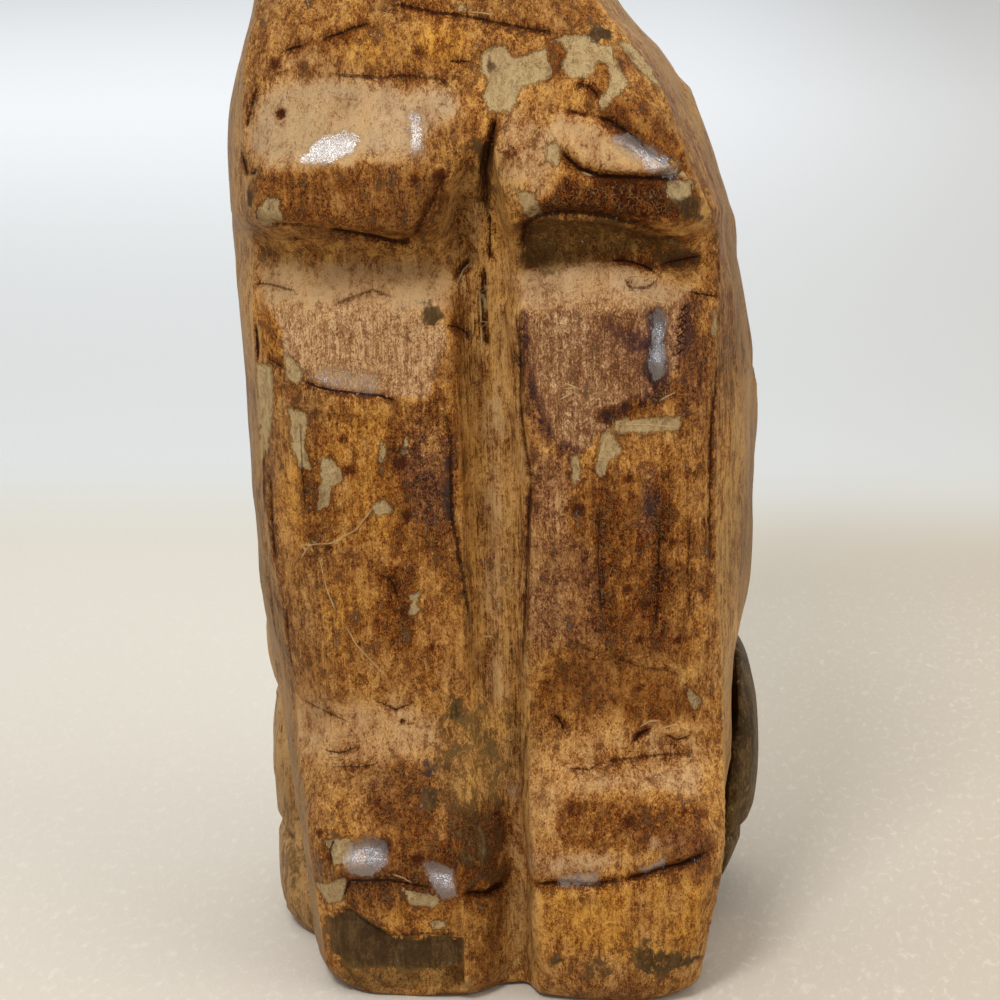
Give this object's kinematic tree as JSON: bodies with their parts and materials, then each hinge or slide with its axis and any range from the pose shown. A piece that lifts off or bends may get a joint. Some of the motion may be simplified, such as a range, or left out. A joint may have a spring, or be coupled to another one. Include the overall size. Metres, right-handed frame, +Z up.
{
  "type": "wooden cat figurine",
  "caption": "Tall seated cat figurine carved in stained, lacquered wood, with a deep groove between straight front legs, swollen paws and a flat base to stand on.",
  "frame": {"origin": "on the floor, under the middle of the figurine's bounding box", "axes": "+Z up; the cat faces -Y; its right side, on the viewer's left from the front, is -X"},
  "size_m": [0.092, 0.0834, 0.2542],
  "materials": {
    "stained_wood": "mottled amber and dark red-brown stain under a glossy lacquer",
    "olive_wood": "olive-brown stain under a thin satin lacquer",
    "bare_wood": "bare turned dowel",
    "amber_glass": "polished amber glass"
  },
  "bodies": {
    "root": {"left_body_stave": "stained_wood", "right_body_stave": "stained_wood", "lower_body_dowel": "bare_wood", "upper_body_dowel": "bare_wood", "left_haunch": "olive_wood", "right_haunch": "olive_wood", "tail": "stained_wood", "tail_peg": "bare_wood", "head": "stained_wood", "neck_dowel": "bare_wood", "left_eye": "amber_glass", "right_eye": "amber_glass"}
  },
  "joints": []
}
